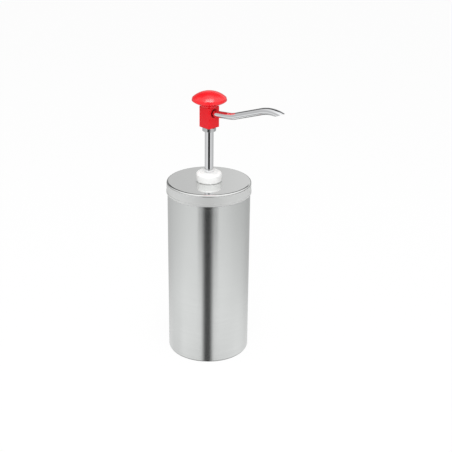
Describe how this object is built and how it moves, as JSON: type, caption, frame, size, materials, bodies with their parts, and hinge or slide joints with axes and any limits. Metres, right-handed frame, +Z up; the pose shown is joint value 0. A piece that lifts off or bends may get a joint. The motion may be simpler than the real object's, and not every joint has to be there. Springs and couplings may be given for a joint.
{
  "type": "sauce dispenser",
  "caption": "Cylindrical steel sauce container with a lift-off lid and a push pump: red knob, swivelling curved spout, dip tube and spring-return plunger.",
  "frame": {"origin": "centre of the container's base, on the surface that it stands on", "axes": "+Z up along the pump's axis, +X along the spout, +Y to the left of the spout seen from behind it"},
  "size_m": [0.2023, 0.123, 0.3997],
  "materials": {
    "container_steel": "satin brushed",
    "lid_steel": "fine satin, almost a mirror on top",
    "chrome": "polished",
    "spring_steel": "drawn wire",
    "red_plastic": "moulded, semi-gloss",
    "white_plastic": "moulded, smooth",
    "natural_plastic": "moulded, undyed",
    "seal_rubber": "moulded seal",
    "red_silicone": "moulded seal"
  },
  "bodies": {
    "container": {"container": "container_steel"},
    "lid": {"lid": "lid_steel", "collar_nut": "white_plastic", "neck_gasket": "seal_rubber", "guide_bush": "white_plastic", "rod_wiper": "seal_rubber", "pump_barrel": "natural_plastic", "foot_valve_body": "white_plastic", "foot_valve_seal": "seal_rubber", "inlet_ball_pin": "chrome", "dip_tube": "natural_plastic"},
    "inlet_ball": {"inlet_ball": "chrome"},
    "turning_spring": {"spring_washer": "chrome", "return_spring": "spring_steel"},
    "plunger": {"piston_body": "white_plastic", "piston_seal": "seal_rubber", "plunger_tube": "chrome", "outlet_ball_pin": "chrome", "tube_seal": "seal_rubber", "head_nut": "chrome", "head_block": "red_plastic", "spout_tube": "chrome", "spout_seal": "red_silicone", "knob": "red_plastic"},
    "outlet_ball": {"outlet_ball": "chrome"}
  },
  "joints": [
    {"name": "lid_lift", "type": "slide", "parent": "container", "child": "lid", "axis": [0, 0, 1], "range_m": [0, 0.27]},
    {"name": "spout_swivel", "type": "hinge", "parent": "lid", "child": "turning_spring", "pos_m": [0, 0, 0.28], "axis": [0, 0, 1], "continuous": true},
    {"name": "plunger_stroke", "type": "slide", "parent": "turning_spring", "child": "plunger", "axis": [0, 0, -1], "range_m": [0, 0.05], "stiffness_N_per_m": 300, "springref_m": -0.03, "deforming": ["return_spring"]},
    {"name": "inlet_ball_lift", "type": "slide", "parent": "lid", "child": "inlet_ball", "axis": [0, 0, 1], "range_m": [0, 0.0035]},
    {"name": "outlet_ball_lift", "type": "slide", "parent": "plunger", "child": "outlet_ball", "axis": [0, 0, 1], "range_m": [0, 0.003]}
  ]
}
